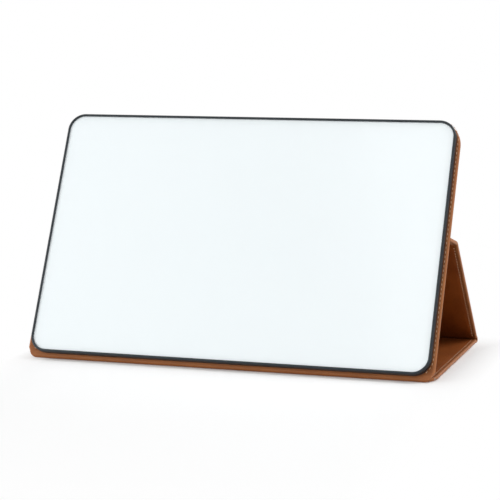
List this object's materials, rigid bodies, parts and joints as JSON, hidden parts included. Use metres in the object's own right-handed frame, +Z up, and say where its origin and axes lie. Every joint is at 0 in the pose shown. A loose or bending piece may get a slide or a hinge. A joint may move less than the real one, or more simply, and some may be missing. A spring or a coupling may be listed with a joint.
{
  "type": "magnetic desk whiteboard easel",
  "caption": "Desk whiteboard with a dark edge frame, carried by a folding leather stand with a base, a strut and a magnetic flap.",
  "frame": {"origin": "on the desk under the middle of the whole footprint", "axes": "+X to the right of a person who faces the whiteboard, +Y away from that person, +Z up"},
  "size_m": [0.4072, 0.2024, 0.2307],
  "materials": {
    "outer_leather": "smooth brown leather, fine grain",
    "lining": "smooth brown lining leather",
    "greyboard": "stiff pressed board",
    "thread": "stitching thread",
    "keeper_steel": "zinc-plated steel strip",
    "magnet": "nickel-plated bar magnet",
    "adhesive": "foam adhesive pad",
    "edge_frame": "satin dark grey",
    "writing_face": "smooth glossy white enamel",
    "core": "pressed fibre board",
    "back_plate": "thin plain sheet"
  },
  "bodies": {
    "base": {"base_outer_leather": "outer_leather", "base_stiffener": "greyboard", "base_lining": "lining", "base_stitching": "thread", "front_crease": "outer_leather", "rear_crease": "outer_leather"},
    "strut": {"strut_outer_leather": "outer_leather", "strut_stiffener": "greyboard", "strut_lining": "lining", "strut_stitching": "thread", "top_crease": "outer_leather"},
    "flap": {"flap_outer_leather": "outer_leather", "flap_stiffener": "greyboard", "flap_lining": "lining", "flap_stitching": "thread", "flap_magnets": "magnet"},
    "whiteboard": {"back_outer_leather": "outer_leather", "back_stiffener": "greyboard", "back_lining": "lining", "back_stitching": "thread", "steel_keeper": "keeper_steel", "adhesive_pads": "adhesive", "edge_frame": "edge_frame", "writing_sheet": "writing_face", "board_core": "core", "board_back_plate": "back_plate"}
  },
  "joints": [
    {"name": "whiteboard_fold", "type": "hinge", "parent": "base", "child": "whiteboard", "pos_m": [0, -0.09209, 0.0037], "axis": [1, 0, 0], "range_deg": [-56, 0], "deforming": ["front_crease"]},
    {"name": "strut_fold", "type": "hinge", "parent": "base", "child": "strut", "pos_m": [0, 0.09621, 0.0037], "axis": [1, 0, 0], "range_deg": [-131.04, 0], "deforming": ["rear_crease"]},
    {"name": "flap_fold", "type": "hinge", "parent": "strut", "child": "flap", "pos_m": [0, 0.00005, 0.11355], "axis": [1, 0, 0], "range_deg": [0, 133.28], "deforming": ["top_crease"]}
  ],
  "couplings": [
    {"joint": "strut_fold", "follows": "whiteboard_fold", "ratio": 2.34},
    {"joint": "flap_fold", "follows": "whiteboard_fold", "ratio": -2.38}
  ]
}
